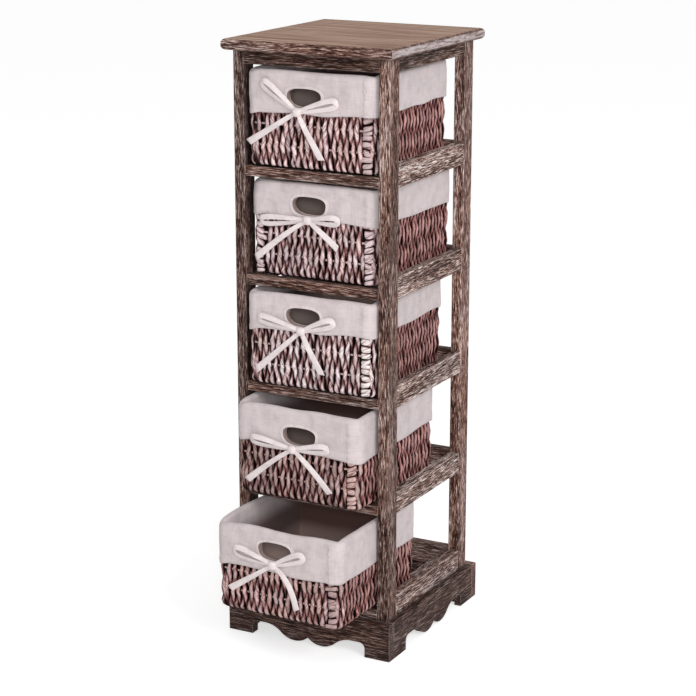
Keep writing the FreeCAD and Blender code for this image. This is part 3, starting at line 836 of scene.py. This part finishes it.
def add_tail(pile, knot, tip, sag, draw):
    """A free end of ribbon over cuff and weave, wider towards its cut end."""
    end = np.array([tip[0], 0, tip[1]])
    side = unit(np.array([-end[2], 0, end[0]]))
    rows = []
    for share, depth, width, roll in TAIL_SHAPE:
        point = knot + end * share + side * sag * np.linalg.norm(end) * math.sin(math.pi * share**0.8)
        rows.append([*(point + FORWARD * depth * MM), *(FORWARD + side * roll), width * RIBBON_WIDTH])
    add_ribbon(pile, rows, slant=draw.choice((-1, 1)) * draw.uniform(*TAIL_SLANTS) * MM)


def add_knot(pile, knot, draw):
    """The small wrapped knot: a squarish pad with soft creases."""
    rings, sides = KNOT_GRID
    lean = draw.uniform(-KNOT_LEAN, KNOT_LEAN)
    polar = np.linspace(0, np.pi, rings)[:, None]
    angle = 2 * np.pi * np.arange(sides) / sides
    x = bend(np.sin(polar) * np.cos(angle), 0.8) * KNOT_HALF_SIZE[0]
    y = bend(np.sin(polar) * np.sin(angle), 0.9) * KNOT_HALF_SIZE[1]
    z = bend(np.cos(polar), 0.75) * KNOT_HALF_SIZE[2]
    crease = 1 + 0.10 * np.sin(1.6 * x / MM + lean * 8)
    points = np.stack([x + lean * z, y * crease, z - lean * x * 0.5], -1).reshape(-1, 3)
    points = points + knot + FORWARD * KNOT_HEIGHT
    faces = [(a, d, c, b) for a, b, c, d in ring_faces(rings, sides)]
    pile.add(points, faces, np.ones((len(points), 4)), np.zeros((len(points), 3)))


def ribbon_bow(basket, material):
    """Two loops, two tails and a knot, on the cuff under the hand hole."""
    draw = random.Random(40 + basket.tier)
    pile = Pile()
    index = basket.tier - 1
    knot = np.array([basket.knot_x, -(basket.half_y + CUFF_OFFSET + CLOTH_THICKNESS), basket.knot_z])
    tips = [(share * basket.half_x - basket.knot_x, rise * MM) for share, rise in BOW_TIPS[index]]
    for tip, opening, tilt in zip(tips[:2], LOOP_OPENINGS[index], LOOP_TILTS):
        add_loop(pile, knot, tip, opening * MM, math.radians(tilt))
    for tip, sag in zip(tips[2:], TAIL_BENDS[index]):
        add_tail(pile, knot, tip, sag, draw)
    add_knot(pile, knot, draw)
    piece = pile.make(f"ribbon_bow_{basket.tier}", basket.place, material)
    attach(piece, basket.body)
    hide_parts(f"bow_{basket.tier}")
    return piece


# Materials

class Shader:
    """The nodes of a new material, or of the surround, built by short calls."""

    def __init__(self, name, owners=bpy.data.materials, surface="Principled BSDF"):
        self.owner = owners.new(name)
        self.owner.use_nodes = True
        self.nodes = self.owner.node_tree.nodes
        self.links = self.owner.node_tree.links
        self.surface = self.nodes[surface]

    def put(self, socket, value):
        if isinstance(value, bpy.types.NodeSocket):
            self.links.new(value, socket)
        else:
            socket.default_value = value

    def add(self, kind, values=None, **settings):
        node = self.nodes.new("ShaderNode" + kind)
        for key, value in settings.items():
            setattr(node, key, value)
        for key, value in (values or {}).items():
            self.put(node.inputs[key], value)
        return node

    def set(self, **values):
        for key, value in values.items():
            self.put(self.surface.inputs[key.replace("_", " ")], value)

    def noise(self, vector, scale, detail=3.0, roughness=0.55, distortion=0.0, turn=(0.0, 0.0, 0.0)):
        """Noise with so many features to the unit along each axis."""
        placed = self.add("Mapping", {"Vector": vector, "Rotation": turn, "Scale": scale}).outputs["Vector"]
        node = self.add("TexNoise", {
            "Vector": placed, "Scale": 1.0, "Detail": detail, "Roughness": roughness,
            "Distortion": distortion})
        return node.outputs["Fac"]

    def ramp(self, value, *stops):
        node = self.add("ValToRGB", {"Fac": value})
        elements = node.color_ramp.elements
        while len(elements) < len(stops):
            elements.new(1.0)
        for element, (place, colour) in zip(elements, stops):
            element.position = place
            element.color = colour
        return node.outputs["Color"]

    def tones(self, value, stops):
        """A ramp through screen colours."""
        return self.ramp(value, *((place, paint(*colour)) for place, colour in stops))

    def math(self, operation, first, second=0.0, third=0.0, clamp=False):
        node = self.add("Math", {0: first, 1: second, 2: third}, operation=operation, use_clamp=clamp)
        return node.outputs[0]

    def blend(self, share, first, second, mode="MIX"):
        values = {0: share, 6: first, 7: second}
        return self.add("Mix", values, data_type="RGBA", blend_type=mode, clamp_result=True).outputs[2]

    def times(self, first, second, share=1.0):
        return self.blend(share, first, second, "MULTIPLY")

    def range(self, value, low, high, to_low=0.0, to_high=1.0):
        values = {0: value, 1: low, 2: high, 3: to_low, 4: to_high}
        return self.add("MapRange", values, interpolation_type="SMOOTHSTEP").outputs[0]

    def bump(self, height, strength, distance):
        node = self.add("Bump", {"Height": height, "Strength": strength, "Distance": distance})
        self.links.new(node.outputs["Normal"], self.surface.inputs["Normal"])


def wood_material(name, axis, painted_light=1.0, length=1.0, grey_share=0.0, smooth_top=False):
    """Brushed dark wood with its grain along one axis, pale rubbed edges partly painted as highlight,
    painted shade in corners and joints, lit and shaded copies, and for the top a smoother face and pale end
    grain."""
    shade = Shader(name)
    place = shade.add("TexCoord").outputs["Object"]

    def grain(across, along, detail, roughness, distortion=0.0):
        """Noise with so many features to the metre across the grain and along it."""
        scale = [across] * 3
        scale[axis] = along
        return shade.noise(place, scale, detail, roughness, distortion)

    fine = grain(1050.0, 70.0 / length, 3.0, 0.7, 0.15)
    hair = grain(2000.0, 130.0 / length, 2.0, 0.6)
    broad = grain(60.0, 6.0 / length, 2.0, 0.5, 0.3)
    rough = shade.math("MULTIPLY_ADD", hair, 0.28, shade.math("MULTIPLY", broad, 0.14))
    figure = shade.math("MULTIPLY_ADD", fine, 0.58, rough)
    colour = shade.tones(figure, WOOD_TONES)
    warm = shade.range(grain(34.0, 5.0, 2.0, 0.5), 0.40, 0.62)
    colour = shade.times(colour, paint(255, 240, 230), warm)
    colour = shade.blend(grey_share, colour, shade.add("RGBToBW", {0: colour}).outputs[0])
    normal = shade.add("NewGeometry").outputs["Normal"]
    split = shade.add("SeparateXYZ", {0: normal})
    height = figure
    if smooth_top:
        end_face = shade.range(shade.math("ABSOLUTE", split.outputs[axis]), 0.80, 0.95)
        rings = shade.noise(place, (60.0, 60.0, 500.0), 4.0, 0.6, 0.2, (0.7, 0.0, 0.0))
        colour = shade.blend(end_face, colour, shade.tones(rings, END_TONES))
        top_face = shade.range(split.outputs[2], 0.80, 0.97)
        streak = grain(260.0, 7.0, 4.0, 0.6, 0.4)
        colour = shade.blend(top_face, colour, shade.tones(streak, TOP_TONES))
        brushed = shade.math("SUBTRACT", 1.0, shade.math("MULTIPLY", top_face, 0.8))
        height = shade.math("MULTIPLY", figure, brushed)
    # pale edges, partly rubbed wear and partly a painted highlight along every edge
    soft = shade.add("Bevel", {"Radius": EDGE_WEAR_AND_HIGHLIGHT_RADIUS}, samples=4).outputs["Normal"]
    edge = shade.add("VectorMath", {0: soft, 1: normal}, operation="DOT_PRODUCT").outputs["Value"]
    worn_and_lit_edge = shade.range(edge, 0.985, 0.90)
    patchy = shade.range(shade.noise(place, [90.0] * 3, 2.0), 0.30, 0.56)
    wear_and_highlight = shade.math("MULTIPLY", shade.math("MULTIPLY", worn_and_lit_edge, patchy), EDGE_WEAR_AND_HIGHLIGHT_SHARE)
    colour = shade.blend(wear_and_highlight, colour, paint(*WORN_AND_HIGHLIGHT_WOOD))
    # painted light and shade: lit copies made lighter, shaded copies darker
    colour = shade.times(colour, grey(painted_light))
    # painted shade: darker in corners, crevices and joints, where the surface is less open
    open_share = shade.add("AmbientOcclusion", {"Distance": PAINTED_SHADE_DISTANCE}, samples=6).outputs["AO"]
    colour = shade.times(colour, shade.ramp(open_share, (0.25, grey(0.22)), (0.85, grey(1.0))))
    shade.set(
        Base_Color=colour, Roughness=shade.range(figure, 0.3, 0.7, 0.62, 0.80), Specular_IOR_Level=0.14)
    shade.bump(height, 0.6, 0.9 * MM)
    return shade.owner


def dowel_material():
    """Plain pale hardwood with a fine grain."""
    shade = Shader("dowel_wood")
    place = shade.add("TexCoord").outputs["Object"]
    grain = shade.noise(place, (600.0, 600.0, 90.0))
    colour = shade.tones(grain, ((0.3, (176, 140, 98)), (0.7, (214, 182, 140))))
    shade.set(Base_Color=colour, Roughness=0.6)
    shade.bump(grain, 0.2, 0.3 * MM)
    return shade.owner


def wicker_material():
    """Twisted strands, each with its own tint and fibres, pale on the crests and darker as painted shade
    where they stand less far out.
    """
    shade = Shader("wicker")
    tint = shade.add("Attribute", attribute_name="tint")
    fibre = shade.add("Attribute", attribute_name="fibre").outputs["Vector"]
    streaks = shade.noise(fibre, (2.2, 2.2, 0.09), 3.0, 0.6)
    patches = shade.noise(fibre, (0.6, 0.6, 0.06), 2.0)
    # pale crests like limed leaf, and painted shade on flanks, dives and hollows, down to near black
    high = shade.math("ADD", tint.outputs["Alpha"], shade.math("MULTIPLY_ADD", patches, 0.4, -0.2))
    pale = shade.range(high, 0.16, 0.84)
    depth = shade.ramp(pale, (0.0, paint(*GAP_SHADE_WICKER)), (0.45, paint(166, 132, 131)), (1.0, grey(1.0)))
    colour = shade.times(tint.outputs["Color"], depth)
    lines = shade.ramp(streaks, (0.36, paint(128, 98, 96)), (0.52, grey(1.0)))
    colour = shade.times(colour, lines, 0.85)
    shade.set(
        Base_Color=colour, Roughness=shade.range(streaks, 0.3, 0.7, 0.45, 0.65), Specular_IOR_Level=0.12)
    shade.bump(streaks, 0.7, 0.9 * MM)
    return shade.owner


def cotton_material(name, colour, shadow, lining=None, shade_tinted=False):
    """Plain cotton with faint slubs; where the mesh asks for it, a lining with a brown band of painted
    shade, and a dark tint painted as shade.
    """
    shade = Shader(name)
    place = shade.add("TexCoord").outputs["Object"]
    upright = shade.noise(place, (700.0, 700.0, 50.0))
    level = shade.noise(place, (50.0, 50.0, 700.0))
    slubs = shade.math("MULTIPLY_ADD", upright, 0.5, shade.math("MULTIPLY", level, 0.5))
    cloud = shade.noise(place, [60.0] * 3, 4.0)
    base = shade.ramp(slubs, (0.40, shadow), (0.58, colour))
    base = shade.times(base, shade.ramp(cloud, (0.36, grey(0.80)), (0.56, grey(1.0))), 0.6)
    # lining colours: brown painted shade under the white rim band, then pale
    if lining:
        within = shade.add("Attribute", attribute_name="inside").outputs["Fac"]
        deep = shade.math("SUBTRACT", within, 1.0, clamp=True)
        base = shade.blend(shade.range(within, 0.0, 1.0), base, shade.blend(deep, *lining))
    # a darker tint painted as shade, used on the sleeve
    if shade_tinted:
        base = shade.times(base, shade.add("Attribute", attribute_name="tint").outputs["Color"])
    shade.set(
        Base_Color=base, Roughness=0.9, Sheen_Weight=0.25, Sheen_Roughness=0.5, Specular_IOR_Level=0.2)
    shade.bump(slubs, 0.14, 0.5 * MM)
    return shade.owner


# Stage

def build_camera():
    data = bpy.data.cameras.new("camera")
    data.sensor_width = CAMERA_SENSOR
    data.lens = CAMERA_LENS
    camera = add_object("camera", data)
    camera.location = CAMERA_PLACE
    camera.rotation_euler = (math.radians(90 - CAMERA_PITCH), 0, math.radians(CAMERA_YAW))
    bpy.context.scene.camera = camera


def build_floor():
    """A wide pale floor that the camera sees as white, apart from the object's shadow."""
    corners = [(x * FLOOR_HALF, y * FLOOR_HALF, 0) for x, y in ((-1, -1), (1, -1), (1, 1), (-1, 1))]
    mesh = bpy.data.meshes.new("floor")
    mesh.from_pydata(corners, [], [(0, 1, 2, 3)])
    floor = add_object("floor", mesh)
    shade = Shader("floor")
    shade.set(Base_Color=grey(0.86), Roughness=0.9, Specular_IOR_Level=0.0)
    path = shade.add("LightPath").outputs
    seen = shade.math("MAXIMUM", path["Is Camera Ray"], path["Is Glossy Ray"])
    seen = shade.math("MAXIMUM", seen, path["Is Transmission Ray"])
    glow = shade.add("Emission", {"Color": grey(1.0), "Strength": shade.math("MULTIPLY", seen, FLOOR_GLOW)})
    both = shade.add("AddShader", {0: shade.surface.outputs[0], 1: glow.outputs[0]})
    shade.links.new(both.outputs[0], shade.nodes["Material Output"].inputs["Surface"])
    mesh.materials.append(shade.owner)


def build_light():
    """A pale surround, a large soft lamp from the right and a weak one from the front."""
    shade = Shader("surround", bpy.data.worlds, "Background")
    bpy.context.scene.world = shade.owner
    path = shade.add("LightPath").outputs
    seen = shade.math("MAXIMUM", path["Is Camera Ray"], path["Is Glossy Ray"])
    level = shade.add("MapRange", {0: seen, 3: SURROUND_LIGHT, 4: 1.0})
    shade.set(Color=grey(1.0), Strength=level.outputs[0])
    for name, place, size, power in LAMPS:
        data = bpy.data.lights.new(name, "AREA")
        data.size = size
        data.energy = power
        lamp = add_object(name, data)
        lamp.location = place
        lamp.rotation_euler = (LAMP_AIM - Vector(place)).to_track_quat("-Z", "Y").to_euler()


# Assembly

def dress_frame():
    """Gives each wooden piece of the frame its material, with the grain along the piece; lit and shaded
    copies paint light on the side rails and rear right post, and shade on the aprons, plinth and front left
    post.
    """
    along_x = wood_material("wood_along_x", 0, length=1.5)
    # the side rails get a lighter, greyer copy as painted light
    lit_along_y = wood_material("lit_wood_along_y", 1, 1.8, 1.3, grey_share=0.3)
    along_z = wood_material("wood_along_z", 2)
    shaded_along_x = wood_material("shaded_wood_along_x", 0, 0.55, 1.5)
    shaded_along_y = wood_material("shaded_wood_along_y", 1, 0.56, 1.8)
    special = {
        # painted shade on the front left post, painted light on the rear right post
        "front_left_post": wood_material("shaded_wood_along_z", 2, 0.78),
        "rear_right_post": wood_material("lit_wood_along_z", 2, 1.45),
        "top_panel": wood_material("wood_top", 0, smooth_top=True),
        "dowels": dowel_material(),
        # painted shade on the plinth and on the aprons under the top
        **dict.fromkeys(("plinth_front", "front_apron"), shaded_along_x),
        **dict.fromkeys(("plinth_left", "plinth_right", "left_apron", "right_apron"), shaded_along_y),
    }
    for name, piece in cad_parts.items():
        if name in special:
            material = special[name]
        elif name.endswith("_post"):
            material = along_z
        elif name.startswith(("left_", "right_", "runners_")):
            material = lit_along_y
        elif name.startswith(("front_", "rear_", "plinth_")):
            material = along_x
        else:
            continue
        piece.data.materials.clear()
        piece.data.materials.append(material)


def dress_baskets():
    """Builds the woven basket, liner, trim and bow of each tier."""
    wicker = wicker_material()
    # lining pair: brown painted shade, and the pale cloth below it
    cotton = cotton_material(
        "cotton", paint(218, 205, 206), paint(208, 195, 196), (paint(92, 68, 63), paint(214, 190, 182)))
    # the trim, with the sleeve's tint painted as shade
    trim = cotton_material("cotton_trim", paint(228, 216, 215), paint(218, 205, 204), shade_tinted=True)
    tape = cotton_material("ribbon", paint(240, 229, 228), paint(230, 217, 217))
    for tier in TIERS:
        basket = basket_frame(tier)
        woven = woven_basket(basket, wicker)
        liner, hem_row, normals, seams = cotton_liner(basket, cotton)
        edge = liner_trim(basket, hem_row, normals, seams, trim)
        bow = ribbon_bow(basket, tape)


bpy.context.scene.view_settings.view_transform = "Standard"
build_camera()
build_floor()
build_light()
dress_frame()
dress_baskets()
